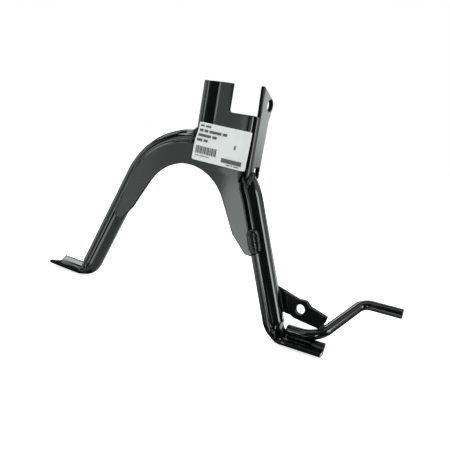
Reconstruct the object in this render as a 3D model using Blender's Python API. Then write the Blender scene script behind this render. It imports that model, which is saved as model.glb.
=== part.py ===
"""Scooter centre stand: a bent leg tube, a folded bridge plate, a foot lever and a stop tab, welded up.

Metres, +Z up, +X to the right seen from the front, +Y to the rear.
The origin is the middle of the pivot axis, between the two flanges of the bridge plate.
"""
import math

import bmesh
import bpy
from mathutils import Vector

# Gap kept between pieces that touch
GAP = 0.0003

# Bridge plate: one stamped blank, folded into a channel that is open to the rear
SHEET = 0.005
CHANNEL_WIDTH = 0.0782
BEND_RADIUS = 0.012
PIVOT_SETBACK = 0.0276
PIVOT_HOLE = 0.0125
EAR_ROUND = 0.0081
EAR_SLOPE = math.radians(26.8)
EAR_TAPER = math.radians(15)
EAR_TOP_DEPTH = 0.0077
EAR_FOOT_DEPTH = 0.0103
EAR_TOP = 0.0194
POST_TOP = 0.0170
FLANGE_DEPTH = 0.031
NOTCH_LEFT = 0.0041
NOTCH_FLOOR = -0.0138
NOTCH_RADIUS = 0.0035
RELIEF_INNER = 0.0336
RELIEF_DEPTH = 0.0046
RELIEF_RADIUS = 0.0014
FADE_START = 0.0043
FADE_END = -0.0090
TONGUE_DEPTH = 0.0172
PRONG_WIDTH = 0.003

# Arch of the bridge plate, which lies on the front of the leg tube
EDGE_RADIUS = 0.0840
EDGE_DROP = 0.0028
EDGE_SHIFT = 0.0010
ARCH_INNER_RADIUS = 0.0580
ARCH_INNER_DROP = 0.0273
ARCH_INNER_SHIFT = 0.0011
WEB_EDGE_SPLAY_LEFT = math.radians(18.0)
WEB_EDGE_SPLAY_RIGHT = math.radians(21.8)
WEB_INNER_SPLAY = math.radians(29.3)
WEB_CORNER_HEIGHT = -0.1435
WEB_LEFT_END = -0.1580
WEB_RIGHT_END = -0.1622

# Leg tube: one round tube, bent to an arch, with both ends bent out and pressed into feet
TUBE_DIAMETER = 0.024
TUBE_WALL = 0.002
ARCH_RADIUS = 0.0879
ARCH_SIDE_SHIFT = -0.038
CROWN_DROP = 0.0512
LEG_SPLAY = math.radians(22.06)
STAND_HEIGHT = 0.2508
FOOT_SPAN = 0.3820
TOE_RISE = math.radians(1.42)
KNEE_RADIUS = 0.017
PRESS_SLIT = 0.0007
PRESS_HALF_ANGLE = math.radians(75)

# Foot lever: a round bar that lies in the right foot, runs back and up, and ends in a side peg
LEVER_DIAMETER = 0.011
LEVER_START = 0.0115
LEVER_CORNER = 0.0459
LEVER_SIDE = 0.0043
LEVER_LIFT = 0.0040
LEVER_REACH = Vector((0.0241, 0.0714, 0.0345))
PEG_REACH = Vector((0.0441, 0.0048, 0.0))
LEVER_BEND = 0.026
PEG_BEND = 0.013

# Stop tab between the right leg and the lever
TAB_THICKNESS = 0.004
TAB_SETBACK = -0.0026
TAB_HOLE = 0.0105
TAB_HOLE_SIDE = 0.0216
TAB_HOLE_LIFT = 0.0288
TAB_CORNER = (0.0250, -0.0133)

# Paper label on the web
LABEL_SIZE = (0.0683, 0.0425)
LABEL_MIDDLE = (0.0019, -0.0514)
LABEL_TILT = math.radians(-2.0)
LABEL_THICKNESS = 0.0002

# Weld beads: their radius, how far they stand off the seam, and where along it they run
BEAD = 0.0032
BEAD_LIFT = 0.0012
CROWN_SEAM = (math.radians(11), math.radians(-1))
SHOULDER_SEAM = (math.radians(63), math.radians(49))
LEFT_LEG_SEAM = (0.55, 0.97)
FLANGE_BEAD = 0.0030
TAB_BEAD = 0.0024
TAB_SEAM = (-0.0250, -0.0020)
LEVER_BEAD = 0.0027
LEVER_SEAM = (0.0050, -0.0160)
LEVER_SEAM_SIDE = -0.0032
LEVER_SEAM_LIFT = 0.0010

# Wide pad of weld that joins the web to the right leg
PAD_WIDTH = 0.0135
PAD_HEIGHT = 0.0066
PAD_LEAN = math.radians(30)
PAD_LIFT = 0.0034
PAD_SEAM = (0.49, 0.95)

# Fineness of the round forms
TUBE_SHARES = (13, 5, 9, 5)
ARC_STEP = math.radians(10)
BEND_STEPS = 7

# Places worked out from the sizes above
HALF_WIDTH = CHANNEL_WIDTH / 2
BEND_START = HALF_WIDTH - BEND_RADIUS
BEND_LENGTH = BEND_RADIUS * math.pi / 2
WEB_FRONT = -PIVOT_SETBACK
TUBE_RADIUS = TUBE_DIAMETER / 2
TUBE_Y = WEB_FRONT + SHEET + GAP + TUBE_RADIUS
ARCH_CENTRE = Vector((ARCH_SIDE_SHIFT, -CROWN_DROP - ARCH_RADIUS))
EDGE_CENTRE = Vector((ARCH_SIDE_SHIFT + EDGE_SHIFT, -CROWN_DROP - EDGE_DROP - EDGE_RADIUS))
SEAM_Y = WEB_FRONT + SHEET * 0.8
FLANGE_REAR = FLANGE_DEPTH - PIVOT_SETBACK


def material(name, colour, roughness, metallic):
    """A plain Principled material."""
    made = bpy.data.materials.new(name)
    made.use_nodes = True
    shader = made.node_tree.nodes["Principled BSDF"]
    shader.inputs["Base Color"].default_value = (*colour, 1)
    shader.inputs["Roughness"].default_value = roughness
    shader.inputs["Metallic"].default_value = metallic
    return made


def object_from(mesh_builder, name, look):
    """Turns a bmesh into a named, smooth-shaded object and frees the bmesh."""
    bmesh.ops.recalc_face_normals(mesh_builder, faces=mesh_builder.faces)
    mesh = bpy.data.meshes.new(name)
    mesh_builder.to_mesh(mesh)
    mesh_builder.free()
    mesh.materials.append(look)
    mesh.shade_smooth()
    mesh.set_sharp_from_angle(angle=math.radians(35))
    made = bpy.data.objects.new(name, mesh)
    bpy.context.collection.objects.link(made)
    return made


def hide_cutter(cutter):
    """Marks an object as a guide that isn't part of the product."""
    cutter.hide_render = True
    cutter.display_type = "WIRE"


def cut(target, cutter):
    """Takes the cutter's volume away from the target."""
    hide_cutter(cutter)
    modifier = target.modifiers.new("cut_" + cutter.name, "BOOLEAN")
    modifier.operation = "DIFFERENCE"
    modifier.solver = "EXACT"
    modifier.object = cutter


def swollen_copy(source, name, margin):
    """A copy of a finished piece, grown by a margin, to cut its neighbours with."""
    graph = bpy.context.evaluated_depsgraph_get()
    grown = bmesh.new()
    grown.from_mesh(source.evaluated_get(graph).to_mesh())
    grown.normal_update()
    moved = [v.co + v.normal * margin * v.calc_shell_factor() for v in grown.verts]
    for vertex, place in zip(grown.verts, moved):
        vertex.co = place
    made = object_from(grown, name, source.data.materials[0])
    hide_cutter(made)
    return made


def arc_points(centre, radius, start, end, step=ARC_STEP):
    """Points on an arc in a plane, both ends included."""
    count = max(1, math.ceil(abs(end - start) / step))
    angles = [start + (end - start) * i / count for i in range(count + 1)]
    return [Vector((centre[0] + radius * math.cos(a), centre[1] + radius * math.sin(a))) for a in angles]


def rounded(corners, step=ARC_STEP):
    """A closed outline from (point, radius) corners, each rounded by an arc of its radius."""
    outline = []
    count = len(corners)
    for index, (corner, radius) in enumerate(corners):
        before = (corners[index - 1][0] - corner).normalized()
        after = (corners[(index + 1) % count][0] - corner).normalized()
        if radius == 0:
            outline.append(corner)
            continue
        half = before.angle(after) / 2
        middle = corner + (before + after).normalized() * radius / math.sin(half)
        first = corner + before * radius / math.tan(half) - middle
        last = corner + after * radius / math.tan(half) - middle
        turn = first.angle_signed(last)
        steps = max(1, math.ceil(abs(turn) / step))
        start = math.atan2(first.y, first.x)
        for i in range(steps + 1):
            angle = start - turn * i / steps
            outline.append(middle + radius * Vector((math.cos(angle), math.sin(angle))))
    return outline


def filleted_path(corners, step=ARC_STEP):
    """Points along a bent bar's centre line, from (point, bend radius) corners in space."""
    path = [corners[0][0]]
    for (before, _), (corner, radius), (after, _) in zip(corners, corners[1:], corners[2:]):
        arriving = (corner - before).normalized()
        leaving = (after - corner).normalized()
        turn = arriving.angle(leaving)
        inward = (leaving - arriving).normalized()
        middle = corner + inward * radius / math.cos(turn / 2)
        across = (corner - arriving * radius * math.tan(turn / 2)) - middle
        steps = max(1, math.ceil(turn / step))
        for i in range(steps + 1):
            angle = turn * i / steps
            path.append(middle + across * math.cos(angle) + arriving * radius * math.sin(angle))
    path.append(corners[-1][0])
    return path


def bar_frames(path, first_side=None):
    """A twist-free pair of side directions at each point of a path."""
    tangents = []
    for index in range(len(path)):
        ahead = path[min(index + 1, len(path) - 1)]
        behind = path[max(index - 1, 0)]
        tangents.append((ahead - behind).normalized())
    side = first_side or tangents[0].orthogonal().normalized()
    frames = []
    for tangent in tangents:
        side = (side - tangent * side.dot(tangent)).normalized()
        frames.append((side, tangent.cross(side)))
    return frames


def skin_rings(builder, rings, caps=True):
    """Joins rings of points into a tube, closed at both ends if asked. Returns the rings' vertices."""
    made = [[builder.verts.new(point) for point in ring] for ring in rings]
    for near, far in zip(made, made[1:]):
        for i in range(len(near)):
            j = (i + 1) % len(near)
            builder.faces.new((near[i], near[j], far[j], far[i]))
    if caps:
        builder.faces.new(reversed(made[0]))
        builder.faces.new(made[-1])
    return made


def bar(name, path, radii, sides, look, first_side=None, flatness=1.0):
    """A solid bar swept along a path, with a radius for each point. Flat bars are wide along first_side."""
    builder = bmesh.new()
    rings = []
    for point, (side, up), radius in zip(path, bar_frames(path, first_side), radii):
        angles = [2 * math.pi * i / sides for i in range(sides)]
        rings.append([point + (side * math.cos(a) + up * math.sin(a) * flatness) * radius for a in angles])
    skin_rings(builder, rings)
    return object_from(builder, name, look)


def section_point(index, radius, press_inner, pressed):
    """One point of the tube's section, between round (pressed 0) and a gutter of two walls (pressed 1).

    The gutter keeps the lower arc of the tube. Its upper wall lies in the lower one, at press_inner.
    """
    lower, rim, upper, _ = TUBE_SHARES
    total = sum(TUBE_SHARES)
    low = -math.pi / 2
    lower_span = 2 * PRESS_HALF_ANGLE
    if index <= lower:
        angle = low - PRESS_HALF_ANGLE + lower_span * index / lower
        return Vector((math.cos(angle), math.sin(angle))) * radius
    round_angle = low + PRESS_HALF_ANGLE + (2 * math.pi - lower_span) * (index - lower) / (total - lower)
    round_place = Vector((math.cos(round_angle), math.sin(round_angle))) * radius
    rim_place = (radius + press_inner) / 2
    rim_radius = (radius - press_inner) / 2
    if index <= lower + rim:
        edge = low + PRESS_HALF_ANGLE
        turn = edge + math.pi * (index - lower) / rim
        centre = Vector((math.cos(edge), math.sin(edge))) * rim_place
        gutter = centre + Vector((math.cos(turn), math.sin(turn))) * rim_radius
    elif index <= lower + rim + upper:
        angle = low + PRESS_HALF_ANGLE - lower_span * (index - lower - rim) / upper
        gutter = Vector((math.cos(angle), math.sin(angle))) * press_inner
    else:
        edge = low - PRESS_HALF_ANGLE
        turn = edge + math.pi + math.pi * (index - lower - rim - upper) / rim
        centre = Vector((math.cos(edge), math.sin(edge))) * rim_place
        gutter = centre + Vector((math.cos(turn), math.sin(turn))) * rim_radius
    return round_place.lerp(gutter, pressed)


def knee_geometry():
    """The right leg's tangent point, knee corner and toe, in the X-Z plane of the tube."""
    top = ARCH_CENTRE + ARCH_RADIUS * Vector((math.cos(LEG_SPLAY), math.sin(LEG_SPLAY)))
    knee_height = -(STAND_HEIGHT - TUBE_RADIUS)
    knee = Vector((top.x + (top.y - knee_height) * math.tan(LEG_SPLAY), knee_height))
    toe_x = ARCH_SIDE_SHIFT + FOOT_SPAN / 2
    toe = Vector((toe_x, knee.y + (toe_x - knee.x) * math.tan(TOE_RISE)))
    return top, knee, toe


def leg_stations():
    """Stations of the right half of the tube: centre, direction and share pressed, crown to toe."""
    top, knee, toe = knee_geometry()
    stations = []
    steps = math.ceil((math.pi / 2 - LEG_SPLAY) / ARC_STEP)
    for i in range(steps + 1):
        angle = math.pi / 2 - (math.pi / 2 - LEG_SPLAY) * i / steps
        place = ARCH_CENTRE + ARCH_RADIUS * Vector((math.cos(angle), math.sin(angle)))
        stations.append((place, Vector((math.sin(angle), -math.cos(angle))), 0.0))
    down = (knee - top).normalized()
    out = (toe - knee).normalized()
    turn = down.angle(out)
    inward = (out - down).normalized()
    middle = knee + inward * KNEE_RADIUS / math.cos(turn / 2)
    across = knee - down * KNEE_RADIUS * math.tan(turn / 2) - middle
    steps = math.ceil(turn / ARC_STEP)
    for i in range(steps + 1):
        angle = turn * i / steps
        place = middle + across * math.cos(angle) + down * KNEE_RADIUS * math.sin(angle)
        direction = down * math.cos(angle) - across.normalized() * math.sin(angle)
        share = min(1.0, max(0.0, (i / steps - 0.3) / 0.7))
        stations.append((place, direction, share * share * (3 - 2 * share)))
    stations.append((toe, out, 1.0))
    return stations


def tube_ring(station, radius, press_inner, side):
    """A ring of the tube's section at a station, mirrored about the tube's middle for side -1."""
    place, direction, pressed = station
    up = Vector((direction.y, -direction.x)) * -1
    ring = []
    for index in range(sum(TUBE_SHARES)):
        across, height = section_point(index, radius, press_inner, pressed)
        flat = place + up * height
        x = ARCH_SIDE_SHIFT + side * (flat.x - ARCH_SIDE_SHIFT)
        ring.append(Vector((x, TUBE_Y + across, flat.y)))
    return ring


def tube_rings(radius, press_inner):
    """All rings of the tube, from the left toe over the crown to the right toe."""
    stations = leg_stations()
    left = [tube_ring(station, radius, press_inner, -1) for station in reversed(stations[1:])]
    right = [tube_ring(station, radius, press_inner, 1) for station in stations]
    return left + right


def leg_tube(look):
    """The hollow leg tube, open at its pressed toes by the slit between the two walls."""
    builder = bmesh.new()
    inner_radius = TUBE_RADIUS - TUBE_WALL
    slit_inner = inner_radius - PRESS_SLIT
    outer = skin_rings(builder, tube_rings(TUBE_RADIUS, slit_inner - TUBE_WALL), caps=False)
    inner = skin_rings(builder, tube_rings(inner_radius, slit_inner), caps=False)
    for outside, inside in ((outer[0], inner[0]), (outer[-1], inner[-1])):
        for i in range(len(outside)):
            j = (i + 1) % len(outside)
            builder.faces.new((outside[i], outside[j], inside[j], inside[i]))
    return object_from(builder, "leg_tube", look)


def tube_cutter(name, margin, look):
    """The leg tube as a solid, grown by a margin, to cut its neighbours with."""
    builder = bmesh.new()
    press_inner = TUBE_RADIUS - 2 * TUBE_WALL - PRESS_SLIT
    skin_rings(builder, tube_rings(TUBE_RADIUS + margin, press_inner - margin))
    made = object_from(builder, name, look)
    hide_cutter(made)
    return made


def blank_reach(depth):
    """Distance along the blank, from its middle, to where the folded sheet lies this far back."""
    if depth < BEND_RADIUS:
        return BEND_START + BEND_RADIUS * math.acos(1 - depth / BEND_RADIUS)
    return BEND_START + BEND_LENGTH + depth - BEND_RADIUS


def tube_top_height(x):
    """Height of the leg tube's top over a place on the pivot axis."""
    reach = ARCH_RADIUS + TUBE_RADIUS
    return ARCH_CENTRE.y + math.sqrt(reach ** 2 - (x - ARCH_CENTRE.x) ** 2)


def ear_corner():
    """Corner that, rounded by EAR_ROUND, wraps the pivot hole: slope above, taper behind."""
    upper = math.pi / 2 - EAR_SLOPE
    lower = -EAR_TAPER
    reach = EAR_ROUND / math.cos((upper - lower) / 2)
    middle = (upper + lower) / 2
    return reach * math.cos(middle), reach * math.sin(middle)


def flange_corners(side, seat):
    """Corners of one flange behind its front edge, from the ear down to the relief beside the web."""
    ear_y, ear_z = ear_corner()
    taper_end = (FLANGE_REAR * math.cos(EAR_TAPER) - EAR_ROUND) / math.sin(EAR_TAPER)
    rows = [
        (ear_y + PIVOT_SETBACK, ear_z, EAR_ROUND),
        (FLANGE_DEPTH, taper_end, 0.006),
        (FLANGE_DEPTH, seat - 0.0055, 0.001),
        (FLANGE_DEPTH - PRONG_WIDTH, seat - 0.0055, 0.001),
        (FLANGE_DEPTH - PRONG_WIDTH, seat + 0.0068, 0.004),
        (TONGUE_DEPTH, seat + 0.0068, 0.002),
        (TONGUE_DEPTH, seat - 0.0062, 0),
        (RELIEF_DEPTH, seat - 0.0062, 0),
        (RELIEF_DEPTH, seat + 0.0043, RELIEF_RADIUS),
    ]
    corners = [(Vector((side * blank_reach(depth), height)), radius) for depth, height, radius in rows]
    corners.append((Vector((side * RELIEF_INNER, seat + 0.0043)), RELIEF_RADIUS))
    return corners


def web_edge(side):
    """Where the web's outer edge leaves its arc, and where it ends at the foot of the web."""
    splay = WEB_EDGE_SPLAY_RIGHT if side > 0 else WEB_EDGE_SPLAY_LEFT
    height = WEB_RIGHT_END if side > 0 else WEB_LEFT_END
    start = EDGE_CENTRE + EDGE_RADIUS * Vector((side * math.cos(splay), math.sin(splay)))
    end = Vector((start.x + side * (start.y - height) * math.tan(splay), height))
    return splay, start, end


def plate_outline():
    """Outline of the flat blank, clockwise from the floor of the notch."""
    right_seat = tube_top_height(HALF_WIDTH)
    left_seat = tube_top_height(-HALF_WIDTH)
    ear_top = blank_reach(EAR_TOP_DEPTH)
    ear_foot = blank_reach(EAR_FOOT_DEPTH)
    inner_height = -CROWN_DROP - ARCH_INNER_DROP - ARCH_INNER_RADIUS
    inner_middle = Vector((ARCH_SIDE_SHIFT + ARCH_INNER_SHIFT, inner_height))
    inner_peak = inner_middle + Vector((0, ARCH_INNER_RADIUS / math.sin(WEB_INNER_SPLAY)))
    inner_run = (inner_peak.y - WEB_CORNER_HEIGHT) * math.tan(WEB_INNER_SPLAY)
    right_inner = Vector((inner_peak.x + inner_run, WEB_CORNER_HEIGHT))
    left_inner = Vector((inner_peak.x - inner_run, WEB_CORNER_HEIGHT))
    _, right_start, right_end = web_edge(1)
    left_splay, left_start, left_end = web_edge(-1)
    relief_foot = right_seat - 0.0098

    corners = [
        (Vector((NOTCH_LEFT, NOTCH_FLOOR)), NOTCH_RADIUS),
        (Vector((ear_foot, NOTCH_FLOOR)), 0.0015),
        (Vector((ear_top, EAR_TOP)), 0.0012),
    ]
    corners += flange_corners(1, right_seat)
    corners += [
        (Vector((RELIEF_INNER - 0.0032, relief_foot)), 0.0006),
        (Vector((RELIEF_INNER - 0.0006, relief_foot - 0.0008)), 0.001),
        (Vector((RELIEF_INNER, relief_foot - 0.0066)), 0.003),
        (right_start, 0),
        (right_end, 0.0028),
        (right_end + Vector((-0.0104, 0.0006)), 0.003),
        (right_inner, 0.004),
        (inner_peak, ARCH_INNER_RADIUS),
        (left_inner, 0.004),
        (left_end + Vector((0.0103, -0.0030)), 0.003),
        (left_end, 0.0015),
        (left_start, 0),
    ]
    edge_stop = math.asin((-RELIEF_INNER - EDGE_CENTRE.x) / EDGE_RADIUS)
    arc = arc_points(EDGE_CENTRE, EDGE_RADIUS, math.pi - left_splay, math.pi / 2 - edge_stop)
    corners += [(point, 0) for point in arc[1:]]
    left_corners = flange_corners(-1, left_seat)
    corners += reversed(left_corners)
    corners += [
        (Vector((-ear_foot, POST_TOP)), 0.002),
        (Vector((NOTCH_LEFT, POST_TOP)), 0.001),
    ]
    return rounded(corners), right_seat, left_seat


def folded(reach, height, depth, right_seat, left_seat):
    """Place in space of a point of the blank: its reach from the middle, height and depth in the sheet.

    The bends fade out below the reliefs, where the web goes on flat.
    """
    flat = Vector((reach, WEB_FRONT + depth, height))
    past = abs(reach) - BEND_START
    seat = right_seat if reach > 0 else left_seat
    share = min(1.0, (height - seat - FADE_END) / (FADE_START - FADE_END))
    if past <= 0 or share <= 0:
        return flat
    if abs(reach) > RELIEF_INNER + 0.0002:
        share = 1.0
    side = math.copysign(1, reach)
    if past >= BEND_LENGTH:
        return Vector((side * (HALF_WIDTH - depth), WEB_FRONT + BEND_RADIUS + past - BEND_LENGTH, height))
    angle = past / BEND_RADIUS
    x = side * (BEND_START + (BEND_RADIUS - depth) * math.sin(angle))
    bent = Vector((x, WEB_FRONT + BEND_RADIUS - (BEND_RADIUS - depth) * math.cos(angle), height))
    return flat.lerp(bent, share * share * (3 - 2 * share))


def folded_sheet(name, outline, front, back, seats, look):
    """A sheet between two depths, cut to an outline on the flat blank and folded with the plate."""
    builder = bmesh.new()
    builder.faces.new([builder.verts.new((point.x, 0, point.y)) for point in outline])
    builder.normal_update()
    bmesh.ops.triangulate(builder, faces=builder.faces, ngon_method="BEAUTY")
    bends = [BEND_START + BEND_LENGTH * i / BEND_STEPS for i in range(BEND_STEPS + 1)]
    lines = [side * bend for side in (-1, 1) for bend in bends]
    levels = [seat + FADE_END + (FADE_START - FADE_END) * i / 4 for seat in seats for i in range(5)]
    planes = [((line, 0, 0), (1, 0, 0)) for line in lines] + [((0, 0, level), (0, 0, 1)) for level in levels]
    for place, normal in planes:
        everything = builder.verts[:] + builder.edges[:] + builder.faces[:]
        bmesh.ops.bisect_plane(builder, geom=everything, plane_co=place, plane_no=normal, dist=1e-6)
    grown = bmesh.ops.extrude_face_region(builder, geom=builder.faces[:])["geom"]
    back_layer = {item for item in grown if isinstance(item, bmesh.types.BMVert)}
    for vertex in builder.verts:
        depth = back if vertex in back_layer else front
        vertex.co = folded(vertex.co.x, vertex.co.z, depth, *seats)
    bmesh.ops.recalc_face_normals(builder, faces=builder.faces)
    bmesh.ops.dissolve_limit(builder, angle_limit=math.radians(0.02), verts=builder.verts, edges=builder.edges)
    return object_from(builder, name, look)


def cylinder_x(name, radius, length, place, look, sides=32):
    """A cylinder along X, used to drill across the channel."""
    path = [Vector((place.x - length / 2, place.y, place.z)), Vector((place.x + length / 2, place.y, place.z))]
    made = bar(name, path, (radius, radius), sides, look)
    hide_cutter(made)
    return made


def bridge_plate(look, tube_clearance):
    """The folded bridge plate with its two pivot holes, coped to the leg tube."""
    outline, right_seat, left_seat = plate_outline()
    plate = folded_sheet("bridge_plate", outline, 0, SHEET, (right_seat, left_seat), look)
    drill = cylinder_x("pivot_drill", PIVOT_HOLE / 2, CHANNEL_WIDTH * 1.2, Vector((0, 0, 0)), look)
    cut(plate, drill)
    cut(plate, tube_clearance)
    return plate, (right_seat, left_seat)


def blank_label(look, seats):
    """The plain paper label, wrapped a little way round the right bend."""
    width, height = LABEL_SIZE
    middle = Vector(LABEL_MIDDLE)
    corners = []
    for across, up in ((-1, 1), (1, 1), (1, -1), (-1, -1)):
        corner = Vector((across * width / 2, up * height / 2))
        turned = Vector((corner.x * math.cos(LABEL_TILT) - corner.y * math.sin(LABEL_TILT),
                         corner.x * math.sin(LABEL_TILT) + corner.y * math.cos(LABEL_TILT)))
        corners.append((middle + turned, 0.002))
    outline = rounded(corners, step=math.radians(18))
    return folded_sheet("blank_label", outline, -GAP - LABEL_THICKNESS, -GAP, seats, look)


def foot_point(run, side, lift):
    """A point beside the right foot: run past the knee corner, side behind and lift over its axis."""
    _, knee, toe = knee_geometry()
    out = (toe - knee).normalized()
    place = knee + out * run + Vector((-out.y, out.x)) * lift
    return Vector((place.x, TUBE_Y + side, place.y))


def lever_corners():
    """Corners of the lever's centre line: start, bend behind the foot, bend to the peg, end."""
    start = foot_point(LEVER_START, LEVER_SIDE, LEVER_LIFT)
    corner = foot_point(LEVER_CORNER, LEVER_SIDE, LEVER_LIFT)
    knuckle = corner + LEVER_REACH
    return start, corner, knuckle, knuckle + PEG_REACH


def foot_lever(look):
    """The bent round bar, with a small chamfer at both ends."""
    start, corner, knuckle, end = lever_corners()
    path = filleted_path([(start, 0), (corner, LEVER_BEND), (knuckle, PEG_BEND), (end, 0)])
    chamfer = LEVER_DIAMETER * 0.08
    inset_start = start + (corner - start).normalized() * chamfer
    inset_end = end + (knuckle - end).normalized() * chamfer
    path = [start, inset_start] + path[1:-1] + [inset_end, end]
    radius = LEVER_DIAMETER / 2
    radii = [radius - chamfer] + [radius] * (len(path) - 2) + [radius - chamfer]
    return bar("foot_lever", path, radii, 20, look)


def tab_hole_middle():
    """Middle of the stop tab's hole in the X-Z plane."""
    hole = foot_point(TAB_HOLE_SIDE, 0, TAB_HOLE_LIFT)
    return Vector((hole.x, hole.z))


def stop_tab(look, clearances):
    """The flat tab with a round hole, cut to fit the leg tube and the lever."""
    middle = tab_hole_middle()
    rows = [
        (-0.0385, 0.0198, 0),
        (-0.0037, 0.0107, 0.004),
        (0.0053, 0.0114, 0.006),
        (0.0113, 0.0061, 0.003),
        (0.0314, 0.0008, 0.0012),
        (0.0300, -0.0058, 0.004),
        (*TAB_CORNER, 0.002),
        (0.0063, -0.0116, 0.004),
        (-0.0065, -0.0102, 0.003),
        (-0.0100, -0.0083, 0.003),
        (-0.0310, -0.0076, 0),
    ]
    outline = rounded([(middle + Vector((x, z)), radius) for x, z, radius in rows])
    builder = bmesh.new()
    front = [builder.verts.new((point.x, TAB_SETBACK, point.y)) for point in outline]
    face = builder.faces.new(front)
    grown = bmesh.ops.extrude_face_region(builder, geom=[face])["geom"]
    moved = [item for item in grown if isinstance(item, bmesh.types.BMVert)]
    bmesh.ops.translate(builder, verts=moved, vec=(0, TAB_THICKNESS, 0))
    tab = object_from(builder, "stop_tab", look)
    ends = [Vector((middle.x, TAB_SETBACK + depth, middle.y)) for depth in (-TAB_THICKNESS, 2 * TAB_THICKNESS)]
    drill = bar("tab_drill", ends, (TAB_HOLE / 2, TAB_HOLE / 2), 28, look)
    cut(tab, drill)
    for clearance in clearances:
        cut(tab, clearance)
    return tab


def weld(name, path, radius, look, neighbours, first_side=None, flatness=1.0):
    """A weld bead: a bar with rounded ends along a seam, trimmed by the pieces that it joins."""
    count = len(path)
    radii = []
    for index in range(count):
        share = index / (count - 1)
        radii.append(radius * max(0.35, math.sqrt(1 - abs(2 * share - 1) ** 4)))
    bead = bar(name, path, radii, 10, look, first_side, flatness)
    for neighbour in neighbours:
        cut(bead, neighbour)
    return bead


def along(first, last, count):
    """Evenly spaced points on a straight run."""
    return [first.lerp(last, i / (count - 1)) for i in range(count)]


def edge_path(start, end, lift, count=9):
    """Points over the web's outer arc between two angles from the vertical, for a bead along it."""
    points = []
    for i in range(count):
        angle = math.pi / 2 + start + (end - start) * i / (count - 1)
        flat = EDGE_CENTRE + (EDGE_RADIUS + lift) * Vector((math.cos(angle), math.sin(angle)))
        points.append(Vector((flat.x, SEAM_Y, flat.y)))
    return points


def straight_edge_path(side, seam, lift, y, count=9):
    """Points along the web's straight outer edge, between two shares of its length."""
    _, start, end = web_edge(side)
    run = end - start
    outward = Vector((-run.y, run.x)).normalized() * side
    flat = along(start + run * seam[0] + outward * lift, start + run * seam[1] + outward * lift, count)
    return [Vector((point.x, y, point.y)) for point in flat]


def leg_seam_path(count=9):
    """Points down the right leg, where the front face of the stop tab meets the tube."""
    top, knee, _ = knee_geometry()
    down = (knee - top).normalized()
    outward = Vector((-down.y, down.x))
    across = TAB_SETBACK - TUBE_Y
    offset = math.sqrt(TUBE_RADIUS ** 2 - across ** 2) + 0.0008
    level = (tab_hole_middle() - top).dot(down)
    ends = [top + down * (level + seam) + outward * offset for seam in TAB_SEAM]
    return [Vector((point.x, TAB_SETBACK - 0.0006, point.y)) for point in along(*ends, count)]


def lever_seam_path(count=9):
    """Points beside the lever, where it lies in the pressed right foot."""
    first = foot_point(LEVER_START + LEVER_SEAM[0], LEVER_SEAM_SIDE, LEVER_SEAM_LIFT)
    last = foot_point(LEVER_CORNER + LEVER_SEAM[1], LEVER_SEAM_SIDE, LEVER_SEAM_LIFT)
    return along(first, last, count)


def tab_corner_path(count=7):
    """Points down the stop tab's lower right corner, over the lever."""
    corner = tab_hole_middle() + Vector(TAB_CORNER)
    start = Vector((corner.x + 0.0042, TAB_SETBACK + TAB_THICKNESS, corner.y + 0.0052))
    end = Vector((corner.x - 0.0020, TAB_SETBACK + TAB_THICKNESS, corner.y - 0.0016))
    return along(start, end, count)


def flange_weld_path(side):
    """Points over the leg tube along the foot of a flange's front tongue."""
    points = []
    for i in range(9):
        depth = RELIEF_DEPTH + 0.001 + (TONGUE_DEPTH - RELIEF_DEPTH - 0.002) * i / 8
        across = WEB_FRONT + depth - TUBE_Y
        reach = ARCH_RADIUS + math.sqrt(max(0, TUBE_RADIUS ** 2 - across ** 2))
        x = side * (HALF_WIDTH + 0.0004)
        height = ARCH_CENTRE.y + math.sqrt(reach ** 2 - (x - ARCH_CENTRE.x) ** 2)
        points.append(Vector((x, WEB_FRONT + depth, height + 0.0006)))
    return points


def build():
    """Builds every piece of the stand."""
    for old in list(bpy.data.objects):
        bpy.data.objects.remove(old, do_unlink=True)
    paint = material("gloss_black_paint", (0.010, 0.011, 0.011), 0.16, 0.0)
    paper = material("white_paper", (0.80, 0.80, 0.79), 0.55, 0.0)

    leg_tube(paint)
    tube_clearance = tube_cutter("tube_clearance", GAP, paint)
    plate, seats = bridge_plate(paint, tube_clearance)
    blank_label(paper, seats)
    lever = foot_lever(paint)
    lever_clearance = swollen_copy(lever, "lever_clearance", GAP)
    tab = stop_tab(paint, (tube_clearance, lever_clearance))
    plate_clearance = swollen_copy(plate, "plate_clearance", GAP)
    tab_clearance = swollen_copy(tab, "tab_clearance", GAP)

    on_plate = (tube_clearance, plate_clearance)
    left_leg_path = straight_edge_path(-1, LEFT_LEG_SEAM, BEAD_LIFT, SEAM_Y)
    weld("weld_crown", edge_path(*CROWN_SEAM, BEAD_LIFT), BEAD, paint, on_plate)
    weld("weld_shoulder", edge_path(*SHOULDER_SEAM, BEAD_LIFT), BEAD, paint, on_plate)
    weld("weld_left_leg", left_leg_path, BEAD, paint, on_plate)
    weld("weld_right_flange", flange_weld_path(1), FLANGE_BEAD, paint, on_plate)
    weld("weld_left_flange", flange_weld_path(-1), FLANGE_BEAD, paint, on_plate)

    _, edge_start, edge_end = web_edge(1)
    run = (edge_end - edge_start).normalized()
    outward = Vector((-run.y * math.cos(PAD_LEAN), math.sin(PAD_LEAN), run.x * math.cos(PAD_LEAN)))
    pad_path = straight_edge_path(1, PAD_SEAM, PAD_LIFT, WEB_FRONT + SHEET * 0.4)
    weld("weld_right_leg", pad_path, PAD_WIDTH / 2, paint, on_plate, outward, PAD_HEIGHT / PAD_WIDTH)

    at_foot = (tube_clearance, lever_clearance, tab_clearance)
    weld("weld_tab_leg", leg_seam_path(), TAB_BEAD, paint, at_foot)
    weld("weld_tab_lever", tab_corner_path(), LEVER_BEAD, paint, at_foot)
    weld("weld_lever_foot", lever_seam_path(), LEVER_BEAD, paint, at_foot)


build()
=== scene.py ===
"""Looks of the centre stand: fine meshes, gloss black paint, a greeked label and soft studio light."""
import math

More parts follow.
